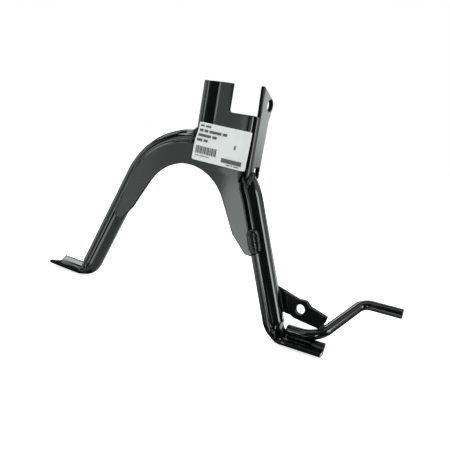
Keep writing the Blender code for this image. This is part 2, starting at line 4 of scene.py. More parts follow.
import bmesh
import bpy
from mathutils import Matrix, Vector, noise
from mathutils.geometry import tessellate_polygon


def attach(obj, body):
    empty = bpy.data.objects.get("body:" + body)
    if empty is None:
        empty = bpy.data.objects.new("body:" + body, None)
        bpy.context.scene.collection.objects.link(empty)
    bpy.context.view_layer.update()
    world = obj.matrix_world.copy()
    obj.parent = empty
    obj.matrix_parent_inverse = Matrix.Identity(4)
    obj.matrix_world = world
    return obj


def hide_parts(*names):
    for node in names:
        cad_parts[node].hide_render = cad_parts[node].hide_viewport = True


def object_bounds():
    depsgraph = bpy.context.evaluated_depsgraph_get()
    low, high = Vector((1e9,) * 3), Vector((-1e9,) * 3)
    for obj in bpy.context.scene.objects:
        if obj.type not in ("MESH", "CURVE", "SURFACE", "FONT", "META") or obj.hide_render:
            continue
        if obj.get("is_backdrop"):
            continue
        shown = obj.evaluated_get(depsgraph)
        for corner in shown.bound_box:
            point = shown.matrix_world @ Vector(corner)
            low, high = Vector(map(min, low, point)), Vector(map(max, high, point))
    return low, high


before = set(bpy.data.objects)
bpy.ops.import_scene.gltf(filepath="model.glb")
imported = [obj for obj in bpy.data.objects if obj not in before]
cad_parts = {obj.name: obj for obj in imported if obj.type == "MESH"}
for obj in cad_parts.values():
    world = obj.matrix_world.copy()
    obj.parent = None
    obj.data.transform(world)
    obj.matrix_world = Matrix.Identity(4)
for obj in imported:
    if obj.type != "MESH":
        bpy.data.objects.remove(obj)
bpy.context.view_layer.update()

# All lengths are in metres

# Camera, as fitted to the photograph
CAMERA_PLACE = Vector((0.33458, -0.60333, -0.02144))
CAMERA_YAW = math.radians(28.401)
CAMERA_PITCH = math.radians(9.876)
CAMERA_ROLL = math.radians(-9.496)
CAMERA_LENS = 48.242
SENSOR = 36
CLIP_START = 0.01

# Bridge plate, with the sizes of the CAD model
SHEET = 0.005
CHANNEL_WIDTH = 0.0782
BEND_RADIUS = 0.012
PIVOT_SETBACK = 0.0276
PIVOT_HOLE = 0.0125
EAR_ROUND = 0.0081
EAR_SLOPE = math.radians(26.8)
EAR_TAPER = math.radians(15)
EAR_TOP_DEPTH = 0.0077
EAR_FOOT_DEPTH = 0.0103
EAR_TOP = 0.0194
EAR_CORNER = 0.0012
EAR_FOOT_CORNER = 0.0015
POST_TOP = 0.0170
POST_CORNERS = (0.002, 0.001)
FLANGE_DEPTH = 0.031
FLANGE_TURN = 0.006
NOTCH_LEFT = 0.0041
NOTCH_FLOOR = -0.0138
NOTCH_RADIUS = 0.0035
RELIEF_INNER = 0.0336
RELIEF_DEPTH = 0.0046
RELIEF_RADIUS = 0.0014
RELIEF_CLEARANCE = 0.0002
FADE_START = 0.0043
FADE_END = -0.0090
TONGUE_DEPTH = 0.0172
TONGUE_FOOT = -0.0062
PRONG_WIDTH = 0.003
PRONG_FOOT = -0.0055
PRONG_CORNER = 0.001
SLOT_TOP = 0.0068
SLOT_CORNERS = (0.004, 0.002)
EDGE_RADIUS = 0.0840
EDGE_DROP = 0.0028
EDGE_SHIFT = 0.0010
ARCH_INNER_RADIUS = 0.0580
ARCH_INNER_DROP = 0.0273
ARCH_INNER_SHIFT = 0.0011
WEB_EDGE_SPLAY_LEFT = math.radians(18.0)
WEB_EDGE_SPLAY_RIGHT = math.radians(21.8)
WEB_INNER_SPLAY = math.radians(29.3)
WEB_CORNER_HEIGHT = -0.1435
WEB_LEFT_END = -0.1580
WEB_RIGHT_END = -0.1622
WEB_INNER_CORNER = 0.004

# Corners of the plate under its right relief, as reach past it, height over the seat and radius
RELIEF_LIP = (
    (-0.0032, -0.0098, 0.0006),
    (-0.0006, -0.0106, 0.001),
    (0, -0.0164, 0.003),
)

# Tips of the web's two arms: the radius at the outer end, and the next corner from there with its radius
RIGHT_TIP = (0.0028, Vector((-0.0104, 0.0006)), 0.003)
LEFT_TIP = (0.0015, Vector((0.0103, -0.0030)), 0.003)

# Shallow facet that the press leaves on the left of the post
FACET_START = -0.0096
FACET_END = -0.0255
FACET_EASE = 0.0050
FACET_TILT = math.radians(13)
FACET_TOP = -0.034
FACET_BOTTOM = -0.056
FACET_DEPTH = 0.010
FACET_DEPTH_EASE = 0.015

# Leg tube
TUBE_DIAMETER = 0.024
TUBE_WALL = 0.002
ARCH_RADIUS = 0.0879
ARCH_SIDE_SHIFT = -0.038
CROWN_DROP = 0.0512
LEG_SPLAY = math.radians(22.06)
STAND_HEIGHT = 0.2508
FOOT_SPAN = 0.3820
TOE_RISE = math.radians(1.42)
KNEE_RADIUS = 0.017
PRESS_SLIT = 0.0007
PRESS_HALF_ANGLE = math.radians(75)
PRESS_START = 0.3
TOE_SLANT = 0.16
TOE_EXTRA = 0.0013
TOE_LIP = 0.0010

# Middle line of the pressed foot's section, from front to rear, as corners with their radius
GUTTER_LINE = (
    (Vector((-0.0111, -0.0062)), 0),
    (Vector((-0.0107, -0.0080)), 0.0036),
    (Vector((0.0062, -0.0100)), 0.0080),
    (Vector((0.0119, -0.0031)), 0),
)

# Foot lever
LEVER_DIAMETER = 0.0117
LEVER_START = 0.0115
LEVER_CORNER = 0.0459
LEVER_SIDE = 0.0067
LEVER_LIFT = 0.0036
LEVER_REACH = Vector((0.0238, 0.0704, 0.0326))
PEG_REACH = Vector((0.0446, 0.0048, 0.0))
LEVER_BEND = 0.026
PEG_BEND = 0.016
LEVER_EDGE = 0.0009
LEVER_EDGE_STEPS = 4
LEVER_SIDES = 56

# Stop tab
TAB_THICKNESS = 0.004
TAB_RIM = 0.0004
TAB_SETBACK = -0.0026
TAB_HOLE = 0.0105
TAB_HOLE_SIDE = 0.0216
TAB_HOLE_LIFT = 0.0288
TAB_CORNER = (0.0250, -0.0147)

# Outline of the stop tab from its hole's middle: side, height and the corner's radius
TAB_OUTLINE = (
    (-0.0385, 0.0198, 0),
    (-0.0037, 0.0107, 0.004),
    (0.0053, 0.0114, 0.006),
    (0.0113, 0.0061, 0.003),
    (0.0314, 0.0008, 0.0012),
    (0.0300, -0.0058, 0.004),
    (*TAB_CORNER, 0.002),
    (0.0063, -0.0130, 0.004),
    (-0.0065, -0.0114, 0.003),
    (-0.0100, -0.0094, 0.003),
    (-0.0310, -0.0084, 0),
)

# Paper label and its print
LABEL_SIZE = (0.0683, 0.0425)
LABEL_MIDDLE = (0.0019, -0.0514)
LABEL_TILT = math.radians(-2.0)
LABEL_THICKNESS = 0.0002
LABEL_CORNER = 0.0020
LABEL_CORNER_STEP = math.radians(12)
LABEL_RIM = 0.00005
INK_LIFT = 0.00034

# Rows of plain bars that stand for words: left end, top, height, lengths and the gap between them
WORD_ROWS = (
    (-0.0315, 0.0187, 0.0021, (0.0052, 0.0078), 0.0020),
    (-0.0315, 0.0139, 0.0030, (0.0048, 0.0058, 0.0160, 0.0056), 0.0017),
    (-0.0318, 0.0085, 0.0030, (0.0178, 0.0056), 0.0019),
    (-0.0319, 0.0031, 0.0029, (0.0072, 0.0056), 0.0018),
    (-0.0300, -0.0151, 0.0009, (0.0044, 0.0060, 0.0050), 0.0012),
    (0.0040, -0.0123, 0.0048, (0.0250,), 0.0),
    (0.0110, -0.0182, 0.0011, (0.0050, 0.0022, 0.0060), 0.0012),
    (0.0170, 0.0036, 0.0044, (0.0022,), 0.0),
)

# Upright bars, with widths and gaps that alternate in a plain rhythm
STRIPES = 18
STRIPE_START = -0.0310
STRIPE_HEIGHTS = (-0.0132, -0.0048)
STRIPE_WIDTHS = (0.0004, 0.0009, 0.0014)
STRIPE_GAPS = (0.0005, 0.0008)

# Weld beads: their radius, how far they stand off the seam, and where along it they run
BEAD = 0.0032
BEAD_LIFT = 0.0012
CROWN_SEAM = (math.radians(11), math.radians(-1))
SHOULDER_SEAM = (math.radians(63), math.radians(49))
LEFT_LEG_SEAM = (0.55, 0.97)
SEAM_DEPTH = 0.8
FLANGE_BEAD = 0.0030
FLANGE_SEAM_MARGIN = 0.001
FLANGE_SEAM_OUT = 0.0004
FLANGE_SEAM_LIFT = 0.0006
TAB_BEAD = 0.0018
TAB_SEAM = (-0.0250, -0.0020)
TAB_SEAM_OUT = 0.0008
TAB_SEAM_FRONT = 0.0006
TAB_CORNER_BEAD = 0.0027
TAB_CORNER_SEAM = (Vector((0.0042, 0.0052)), Vector((-0.0020, -0.0016)))
LEVER_BEAD = 0.0016
LEVER_SEAM = (0.0020, -0.0048)
LEVER_SEAM_SIDE = 0.0030
LEVER_SEAM_LIFT = -0.0024

# Wide pad of weld that joins the web to the right leg
PAD_WIDTH = 0.0135
PAD_HEIGHT = 0.0066
PAD_LEAN = math.radians(30)
PAD_LIFT = 0.0034
PAD_SEAM = (0.49, 0.95)
PAD_DEPTH = 0.4

# Ripples and roughness of every bead, and how its ends close, down to a share of its radius
RIPPLE = 0.00020
RIPPLE_PITCH = 0.0016
WELD_ROUGHNESS = 0.00045
WELD_NOISE_SCALE = 420
WELD_END_POWER = 5
WELD_END_RADIUS = 0.05

# Gap that stands for fused metal, rounded rims of the sheets, and fineness
GAP = 0.0003
RIM = 0.0008
RIM_STEPS = 3
RIM_BORDER = 1.7
MITRE_LIMIT = 0.6
SCORE_REACH = 1e-6
SHARP_EDGE = math.radians(35)
SHARP_WELD_EDGE = math.radians(60)
ARC_STEP = math.radians(5)
BEND_STEPS = 18
FADE_STEPS = 6
FACET_STEPS = 12
HOLE_SIDES = 64
TUBE_SHARES = (39, 15, 27, 15)
WELD_SIDES = 28
WELD_STEP = 0.0003
WELD_STEPS_LEAST = 24

# Finishes
PAINT_COLOUR = (0.0032, 0.0036, 0.0036)
GLOSS_SCALE = 60
PEEL_SCALE = 260
PEEL_HEIGHT = 0.0004
BUMP_DETAIL = 2.0
PAPER_COLOUR = (0.62, 0.63, 0.63)
PAPER_ROUGHNESS = 0.38
PAPER_TOOTH = 0.08
PAPER_TOOTH_SCALE = 1500
PAPER_TOOTH_HEIGHT = 0.0001
INK_COLOUR = (0.02, 0.02, 0.022)
INK_ROUGHNESS = 0.5
INK_DARKEST = (0.035, 0.035, 0.040, 1)
INK_PALEST = (0.110, 0.110, 0.115, 1)
INK_SCALE = 900

# Floor and key light
FLOOR_SIZE = 6.0
FLOOR_COLOUR = (0.85, 0.85, 0.85)
FLOOR_ROUGHNESS = 0.9
FLOOR_GLOW = 0.75
FLOOR_DROP = 0.0004
KEY_SIZE = 1.2
KEY_POWER = 16
KEY_PLACE = Vector((-0.5, -1.4, 1.3))
KEY_AIM = Vector((0, 0, -0.1))

# Places worked out from the sizes above
HALF_WIDTH = CHANNEL_WIDTH / 2
BEND_START = HALF_WIDTH - BEND_RADIUS
BEND_LENGTH = BEND_RADIUS * math.pi / 2
WEB_FRONT = -PIVOT_SETBACK
TUBE_RADIUS = TUBE_DIAMETER / 2
TUBE_Y = WEB_FRONT + SHEET + GAP + TUBE_RADIUS
ARCH_CENTRE = Vector((ARCH_SIDE_SHIFT, -CROWN_DROP - ARCH_RADIUS))
EDGE_CENTRE = Vector((ARCH_SIDE_SHIFT + EDGE_SHIFT, -CROWN_DROP - EDGE_DROP - EDGE_RADIUS))
SEAM_Y = WEB_FRONT + SHEET * SEAM_DEPTH
FLANGE_REAR = FLANGE_DEPTH - PIVOT_SETBACK


def smooth(share):
    """An eased share between 0 and 1."""
    share = min(1.0, max(0.0, share))
    return share * share * (3 - 2 * share)


def polar(radius, angle):
    """A point at a radius and an angle from the middle."""
    return Vector((math.cos(angle), math.sin(angle))) * radius


def object_from(builder, name, looks, sharp=SHARP_EDGE):
    """Turns a bmesh into a named, smooth-shaded piece with one material or more."""
    bmesh.ops.recalc_face_normals(builder, faces=builder.faces)
    mesh = bpy.data.meshes.new(name)
    builder.to_mesh(mesh)
    builder.free()
    for look in looks if isinstance(looks, tuple) else (looks,):
        mesh.materials.append(look)
    mesh.shade_smooth()
    mesh.set_sharp_from_angle(angle=sharp)
    made = bpy.data.objects.new(name, mesh)
    bpy.context.collection.objects.link(made)
    return made


def dress(piece, node):
    """The piece stands for a CAD node and rides with the stand."""
    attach(piece, "root")
    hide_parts(node)


def arc_points(centre, radius, start, end, step=ARC_STEP):
    """Points on an arc in a plane, both ends included."""
    count = max(1, math.ceil(abs(end - start) / step))
    angles = [start + (end - start) * i / count for i in range(count + 1)]
    return [Vector((centre[0] + radius * math.cos(a), centre[1] + radius * math.sin(a))) for a in angles]


def rounded(corners, step=ARC_STEP):
    """A closed outline from (point, radius) corners, each rounded by an arc of its radius."""
    outline = []
    count = len(corners)
    for index, (corner, radius) in enumerate(corners):
        before = (corners[index - 1][0] - corner).normalized()
        after = (corners[(index + 1) % count][0] - corner).normalized()
        if radius == 0:
            outline.append(corner)
            continue
        half = before.angle(after) / 2
        middle = corner + (before + after).normalized() * radius / math.sin(half)
        first = corner + before * radius / math.tan(half) - middle
        last = corner + after * radius / math.tan(half) - middle
        turn = first.angle_signed(last)
        steps = max(1, math.ceil(abs(turn) / step))
        start = math.atan2(first.y, first.x)
        for i in range(steps + 1):
            angle = start - turn * i / steps
            outline.append(middle + polar(radius, angle))
    return outline


def inset_outline(outline, distance):
    """The outline moved inwards, for outlines that run clockwise."""
    moved = []
    count = len(outline)
    for index, point in enumerate(outline):
        arriving = (point - outline[index - 1]).normalized()
        leaving = (outline[(index + 1) % count] - point).normalized()
        along = (arriving + leaving).normalized()
        inward = Vector((along.y, -along.x))
        stretch = 1 / max(MITRE_LIMIT, along.dot(arriving))
        moved.append(point + inward * distance * stretch)
    return moved


def clockwise(outline):
    """The outline in clockwise order."""
    area = sum(a.x * b.y - a.y * b.x for a, b in zip(outline, outline[1:] + outline[:1]))
    return outline if area < 0 else outline[::-1]


def circle(centre, radius, sides=HOLE_SIDES):
    """A round outline."""
    angles = [2 * math.pi * i / sides for i in range(sides)]
    return [Vector((centre[0] + radius * math.cos(a), centre[1] + radius * math.sin(a))) for a in angles]


def sheet_solid(outline, thickness, rim, holes=()):
    """A flat sheet in the X-Z plane with rounded edges. Its depth runs from 0 to its thickness along Y.

    The faces of its cut edge have material index 1.
    """
    builder = bmesh.new()
    profile = [(rim * RIM_BORDER, 0.0)]
    for step in range(RIM_STEPS + 1):
        angle = math.pi / 2 * step / RIM_STEPS
        profile.append((rim * (1 - math.sin(angle)), rim * (1 - math.cos(angle))))
    profile += [(inset, thickness - depth) for inset, depth in reversed(profile)]
    borders = [clockwise(outline)] + [clockwise(hole)[::-1] for hole in holes]
    faces = {0: [], len(profile) - 1: []}
    for border in borders:
        loops = []
        for level, (inset, depth) in enumerate(profile):
            ring = inset_outline(border, inset) if inset else border
            loops.append([builder.verts.new((point.x, depth, point.y)) for point in ring])
            if level in faces:
                faces[level].append(loops[-1])
        for level, (near, far) in enumerate(zip(loops, loops[1:])):
            for i in range(len(near)):
                j = (i + 1) % len(near)
                face = builder.faces.new((near[i], near[j], far[j], far[i]))
                face.material_index = int(level == RIM_STEPS + 1)
    for rings in faces.values():
        corners = [vertex for ring in rings for vertex in ring]
        flat = [[(vertex.co.x, vertex.co.z, 0) for vertex in ring] for ring in rings]
        for triangle in tessellate_polygon(flat):
            builder.faces.new([corners[i] for i in triangle])
    bmesh.ops.recalc_face_normals(builder, faces=builder.faces)
    return builder


def score(builder, planes):
    """Cuts new edges into a bmesh along planes, so that it can be folded there."""
    for place, normal in planes:
        everything = builder.verts[:] + builder.edges[:] + builder.faces[:]
        bmesh.ops.bisect_plane(builder, geom=everything, plane_co=place, plane_no=normal, dist=SCORE_REACH)


def skin_rings(builder, rings, caps=True):
    """Joins rings of points into a tube, closed at both ends if asked."""
    made = [[builder.verts.new(point) for point in ring] for ring in rings]
    for near, far in zip(made, made[1:]):
        for i in range(len(near)):
            j = (i + 1) % len(near)
            builder.faces.new((near[i], near[j], far[j], far[i]))
    if caps:
        builder.faces.new(reversed(made[0]))
        builder.faces.new(made[-1])
    return made


def filleted_path(corners, step=ARC_STEP):
    """Points along a bent bar's centre line, from (point, bend radius) corners in space."""
    path = [corners[0][0]]
    for (before, _), (corner, radius), (after, _) in zip(corners, corners[1:], corners[2:]):
        arriving = (corner - before).normalized()
        leaving = (after - corner).normalized()
        turn = arriving.angle(leaving)
        inward = (leaving - arriving).normalized()
        middle = corner + inward * radius / math.cos(turn / 2)
        across = (corner - arriving * radius * math.tan(turn / 2)) - middle
        steps = max(1, math.ceil(turn / step))
        for i in range(steps + 1):
            angle = turn * i / steps
            path.append(middle + across * math.cos(angle) + arriving * radius * math.sin(angle))
    path.append(corners[-1][0])
    return path


def bar_frames(path, first_side=None):
    """A twist-free pair of side directions at each point of a path."""
    tangents = []
    for index in range(len(path)):
        ahead = path[min(index + 1, len(path) - 1)]
        behind = path[max(index - 1, 0)]
        tangents.append((ahead - behind).normalized())
    side = first_side or tangents[0].orthogonal().normalized()
    frames = []
    for tangent in tangents:
        side = (side - tangent * side.dot(tangent)).normalized()
        frames.append((side, tangent.cross(side)))
    return frames


def bar(name, path, radii, sides, look):
    """A solid bar swept along a path, with a radius for each point."""
    builder = bmesh.new()
    rings = []
    for point, (side, up), radius in zip(path, bar_frames(path), radii):
        angles = [2 * math.pi * i / sides for i in range(sides)]
        rings.append([point + (side * math.cos(a) + up * math.sin(a)) * radius for a in angles])
    skin_rings(builder, rings)
    return object_from(builder, name, look)


GUTTER_PATH = filleted_path(GUTTER_LINE)


def gutter_place(share):
    """Place on the middle line of the foot's section at a share of its length, and the way out from it."""
    legs = list(zip(GUTTER_PATH, GUTTER_PATH[1:]))
    left = share * sum((after - before).length for before, after in legs)
    for before, after in legs:
        length = (after - before).length
        if left <= length or after == GUTTER_PATH[-1]:
            along = (after - before) / length
            return before + along * min(left, length), Vector((along.y, -along.x))
        left -= length


def gutter_point(index, radius, press_inner):
    """One point of the pressed foot's section: the tube's lower wall with the upper wall laid in it."""
    lower, rim, upper, _ = TUBE_SHARES
    half = (radius - press_inner) / 2
    if index <= lower:
        place, outward = gutter_place(index / lower)
        return place + outward * half
    if index <= lower + rim:
        place, outward = gutter_place(1)
        turn = math.pi * (index - lower) / rim
    elif index <= lower + rim + upper:
        place, outward = gutter_place(1 - (index - lower - rim) / upper)
        return place - outward * half
    else:
        place, outward = gutter_place(0)
        turn = math.pi + math.pi * (index - lower - rim - upper) / rim
    return place + polar(half, math.atan2(outward.y, outward.x) + turn)


def section_point(index, radius, press_inner, pressed):
    """One point of the tube's section, between round (pressed 0) and the foot's gutter (pressed 1)."""
    lower = TUBE_SHARES[0]
    total = sum(TUBE_SHARES)
    low = -math.pi / 2
    span = 2 * PRESS_HALF_ANGLE
    if index <= lower:
        angle = low - PRESS_HALF_ANGLE + span * index / lower
    else:
        angle = low + PRESS_HALF_ANGLE + (2 * math.pi - span) * (index - lower) / (total - lower)
    return polar(radius, angle).lerp(gutter_point(index, radius, press_inner), pressed)


def knee_geometry():
    """The right leg's tangent point, knee corner and toe, in the X-Z plane of the tube."""
    top = ARCH_CENTRE + polar(ARCH_RADIUS, LEG_SPLAY)
    knee_height = -(STAND_HEIGHT - TUBE_RADIUS)
    knee = Vector((top.x + (top.y - knee_height) * math.tan(LEG_SPLAY), knee_height))
    toe_x = ARCH_SIDE_SHIFT + FOOT_SPAN / 2 + TOE_EXTRA
    toe = Vector((toe_x, knee.y + (toe_x - knee.x) * math.tan(TOE_RISE)))
    return top, knee, toe


def leg_stations(step=ARC_STEP / 2):
    """Stations of the right half of the tube, crown to toe: centre, direction, share pressed and slant."""
    top, knee, toe = knee_geometry()
    stations = []
    steps = math.ceil((math.pi / 2 - LEG_SPLAY) / step)
    for i in range(steps + 1):
        angle = math.pi / 2 - (math.pi / 2 - LEG_SPLAY) * i / steps
        place = ARCH_CENTRE + polar(ARCH_RADIUS, angle)
        stations.append((place, Vector((math.sin(angle), -math.cos(angle))), 0.0, 0.0))
    down = (knee - top).normalized()
    out = (toe - knee).normalized()
    turn = down.angle(out)
    inward = (out - down).normalized()
    middle = knee + inward * KNEE_RADIUS / math.cos(turn / 2)
    across = knee - down * KNEE_RADIUS * math.tan(turn / 2) - middle
    steps = math.ceil(turn / step)
    for i in range(steps + 1):
        angle = turn * i / steps
        place = middle + across * math.cos(angle) + down * KNEE_RADIUS * math.sin(angle)
        direction = down * math.cos(angle) - across.normalized() * math.sin(angle)
        pressed = smooth((i / steps - PRESS_START) / (1 - PRESS_START))
        stations.append((place, direction, pressed, 0.0))
    stations.append((toe - out * TOE_LIP, out, 1.0, TOE_SLANT))
    stations.append((toe, out, 1.0, TOE_SLANT))
    return stations


def tube_ring(station, radius, press_inner, side):
    """A ring of the tube's section at a station, mirrored about the tube's middle for side -1."""
    place, direction, pressed, slant = station
    up = Vector((-direction.y, direction.x))
    ring = []
    for index in range(sum(TUBE_SHARES)):
        across, height = section_point(index, radius, press_inner, pressed)
        flat = place + up * height - direction * across * slant
        x = ARCH_SIDE_SHIFT + side * (flat.x - ARCH_SIDE_SHIFT)
        ring.append(Vector((x, TUBE_Y + across, flat.y)))
    return ring


def tube_rings(radius, press_inner):
    """All rings of the tube, from the left toe over the crown to the right toe."""
    stations = leg_stations()
    left = [tube_ring(station, radius, press_inner, -1) for station in reversed(stations[1:])]
    right = [tube_ring(station, radius, press_inner, 1) for station in stations]
    return left + right


def leg_tube(look):
    """The hollow leg tube, open at its pressed toes by the slit between the two walls."""
    builder = bmesh.new()
    inner_radius = TUBE_RADIUS - TUBE_WALL
    slit_inner = inner_radius - PRESS_SLIT
    outer = skin_rings(builder, tube_rings(TUBE_RADIUS, slit_inner - TUBE_WALL), caps=False)
    inner = skin_rings(builder, tube_rings(inner_radius, slit_inner), caps=False)
    for outside, inside in ((outer[0], inner[0]), (outer[-1], inner[-1])):
        for i in range(len(outside)):
            j = (i + 1) % len(outside)
            builder.faces.new((outside[i], outside[j], inside[j], inside[i]))
    return object_from(builder, "painted_leg_tube", look)


def blank_reach(depth):
    """Distance along the blank, from its middle, to where the folded sheet lies this far back."""
    if depth < BEND_RADIUS:
        return BEND_START + BEND_RADIUS * math.acos(1 - depth / BEND_RADIUS)
    return BEND_START + BEND_LENGTH + depth - BEND_RADIUS


def tube_top_height(x):
    """Height of the leg tube's top over a place on the pivot axis."""
    reach = ARCH_RADIUS + TUBE_RADIUS
    return ARCH_CENTRE.y + math.sqrt(reach ** 2 - (x - ARCH_CENTRE.x) ** 2)


SEATS = (tube_top_height(HALF_WIDTH), tube_top_height(-HALF_WIDTH))


def ear_corner():
    """Corner that, rounded by EAR_ROUND, wraps the pivot hole: slope above, taper behind."""
    upper = math.pi / 2 - EAR_SLOPE
    lower = -EAR_TAPER
    reach = EAR_ROUND / math.cos((upper - lower) / 2)
    middle = (upper + lower) / 2
    return reach * math.cos(middle), reach * math.sin(middle)


def flange_corners(side, seat):
    """Corners of one flange behind its front edge, from the ear down to the relief beside the web."""
    ear_y, ear_z = ear_corner()
    taper_end = (FLANGE_REAR * math.cos(EAR_TAPER) - EAR_ROUND) / math.sin(EAR_TAPER)
    rows = [
        (ear_y + PIVOT_SETBACK, ear_z, EAR_ROUND),
        (FLANGE_DEPTH, taper_end, FLANGE_TURN),
        (FLANGE_DEPTH, seat + PRONG_FOOT, PRONG_CORNER),
        (FLANGE_DEPTH - PRONG_WIDTH, seat + PRONG_FOOT, PRONG_CORNER),
        (FLANGE_DEPTH - PRONG_WIDTH, seat + SLOT_TOP, SLOT_CORNERS[0]),
        (TONGUE_DEPTH, seat + SLOT_TOP, SLOT_CORNERS[1]),
        (TONGUE_DEPTH, seat + TONGUE_FOOT, 0),
        (RELIEF_DEPTH, seat + TONGUE_FOOT, 0),
        (RELIEF_DEPTH, seat + FADE_START, RELIEF_RADIUS),
    ]
    corners = [(Vector((side * blank_reach(depth), height)), radius) for depth, height, radius in rows]
    corners.append((Vector((side * RELIEF_INNER, seat + FADE_START)), RELIEF_RADIUS))
    return corners


def web_edge(side):
    """Where the web's outer edge leaves its arc, and where it ends at the foot of the web."""
    splay = WEB_EDGE_SPLAY_RIGHT if side > 0 else WEB_EDGE_SPLAY_LEFT
    height = WEB_RIGHT_END if side > 0 else WEB_LEFT_END
    start = EDGE_CENTRE + Vector((side * math.cos(splay), math.sin(splay))) * EDGE_RADIUS
    end = Vector((start.x + side * (start.y - height) * math.tan(splay), height))
    return splay, start, end


def plate_outline():
    """Outline of the flat blank, clockwise from the floor of the notch."""
    right_seat, left_seat = SEATS
    ear_top = blank_reach(EAR_TOP_DEPTH)
    ear_foot = blank_reach(EAR_FOOT_DEPTH)
    inner_height = -CROWN_DROP - ARCH_INNER_DROP - ARCH_INNER_RADIUS
    inner_middle = Vector((ARCH_SIDE_SHIFT + ARCH_INNER_SHIFT, inner_height))
    inner_peak = inner_middle + Vector((0, ARCH_INNER_RADIUS / math.sin(WEB_INNER_SPLAY)))
    inner_run = (inner_peak.y - WEB_CORNER_HEIGHT) * math.tan(WEB_INNER_SPLAY)
    right_inner = Vector((inner_peak.x + inner_run, WEB_CORNER_HEIGHT))
    left_inner = Vector((inner_peak.x - inner_run, WEB_CORNER_HEIGHT))
    _, right_start, right_end = web_edge(1)
    left_splay, left_start, left_end = web_edge(-1)
    right_round, right_step, right_step_round = RIGHT_TIP
    left_round, left_step, left_step_round = LEFT_TIP

    corners = [
        (Vector((NOTCH_LEFT, NOTCH_FLOOR)), NOTCH_RADIUS),
        (Vector((ear_foot, NOTCH_FLOOR)), EAR_FOOT_CORNER),
        (Vector((ear_top, EAR_TOP)), EAR_CORNER),
    ]
    corners += flange_corners(1, right_seat)
    for past, lift, radius in RELIEF_LIP:
        corners.append((Vector((RELIEF_INNER + past, right_seat + lift)), radius))
    corners += [
        (right_start, 0),
        (right_end, right_round),
        (right_end + right_step, right_step_round),
        (right_inner, WEB_INNER_CORNER),
        (inner_peak, ARCH_INNER_RADIUS),
        (left_inner, WEB_INNER_CORNER),
        (left_end + left_step, left_step_round),
        (left_end, left_round),
        (left_start, 0),
    ]
    edge_stop = math.asin((-RELIEF_INNER - EDGE_CENTRE.x) / EDGE_RADIUS)
    arc = arc_points(EDGE_CENTRE, EDGE_RADIUS, math.pi - left_splay, math.pi / 2 - edge_stop)
    corners += [(point, 0) for point in arc[1:]]
    corners += reversed(flange_corners(-1, left_seat))
    corners += [
        (Vector((-ear_foot, POST_TOP)), POST_CORNERS[0]),
        (Vector((NOTCH_LEFT, POST_TOP)), POST_CORNERS[1]),
    ]
    return rounded(corners)


def folded(reach, height, depth):
    """Place in space of a point of the blank: its reach from the middle, height and depth in the sheet."""
    flat = Vector((reach, WEB_FRONT + depth, height))
    past = abs(reach) - BEND_START
    seat = SEATS[0] if reach > 0 else SEATS[1]
    share = min(1.0, (height - seat - FADE_END) / (FADE_START - FADE_END))
    if past <= 0 or share <= 0:
        return flat
    if abs(reach) > RELIEF_INNER + RELIEF_CLEARANCE:
        share = 1.0
    side = math.copysign(1, reach)
    if past >= BEND_LENGTH:
        return Vector((side * (HALF_WIDTH - depth), WEB_FRONT + BEND_RADIUS + past - BEND_LENGTH, height))
    angle = past / BEND_RADIUS
    x = side * (BEND_START + (BEND_RADIUS - depth) * math.sin(angle))
    bent = Vector((x, WEB_FRONT + BEND_RADIUS - (BEND_RADIUS - depth) * math.cos(angle), height))
    return flat.lerp(bent, smooth(share))


def faceted(place):
    """Leans the left of the post back a little, where the press tool leaves a shallow facet."""
    run = FACET_START - place.x
    if run <= 0:
        return place
    run = min(run, FACET_START - FACET_END)
    lean = run * run / (2 * FACET_EASE) if run < FACET_EASE else run - FACET_EASE / 2
    height_share = smooth((place.z - FACET_BOTTOM) / (FACET_TOP - FACET_BOTTOM))
    depth_share = 1 - smooth((place.y - WEB_FRONT - FACET_DEPTH) / FACET_DEPTH_EASE)
    return place + Vector((0, lean * math.tan(FACET_TILT) * height_share * depth_share, 0))


def fold_planes():
    """Planes that score the blank along its bends and across the stretches where they fade."""
    planes = []
    for side in (-1, 1):
        for i in range(BEND_STEPS + 1):
            planes.append(((side * (BEND_START + BEND_LENGTH * i / BEND_STEPS), 0, 0), (1, 0, 0)))
    for seat in SEATS:
        for i in range(FADE_STEPS + 1):
            level = seat + FADE_END + (FADE_START - FADE_END) * i / FADE_STEPS
            planes.append(((0, 0, level), (0, 0, 1)))
    for i in range(FACET_STEPS + 1):
        planes.append(((FACET_START - FACET_EASE * i / FACET_STEPS, 0, 0), (1, 0, 0)))
        level = FACET_BOTTOM + (FACET_TOP - FACET_BOTTOM) * i / FACET_STEPS
        planes.append(((0, 0, level), (0, 0, 1)))
    return planes


def fold_all(builder, lift):
    """Folds a flat bmesh with the plate, lifted off the front face by a distance."""
    for vertex in builder.verts:
        place = folded(vertex.co.x, vertex.co.z, vertex.co.y - lift)
        vertex.co = faceted(place)


def bridge_plate(look, edge_look):
    """The folded bridge plate with rounded edges and its two pivot holes."""
    holes = [circle((side * blank_reach(PIVOT_SETBACK), 0), PIVOT_HOLE / 2) for side in (-1, 1)]
    builder = sheet_solid(plate_outline(), SHEET, RIM, holes)
    score(builder, fold_planes())
    fold_all(builder, 0)
    return object_from(builder, "painted_bridge_plate", (look, edge_look))


def label_place(across, up):
    """A point of the label, from its middle, on the flat blank."""
    return Vector((LABEL_MIDDLE[0] + across * math.cos(LABEL_TILT) - up * math.sin(LABEL_TILT),
                   LABEL_MIDDLE[1] + across * math.sin(LABEL_TILT) + up * math.cos(LABEL_TILT)))


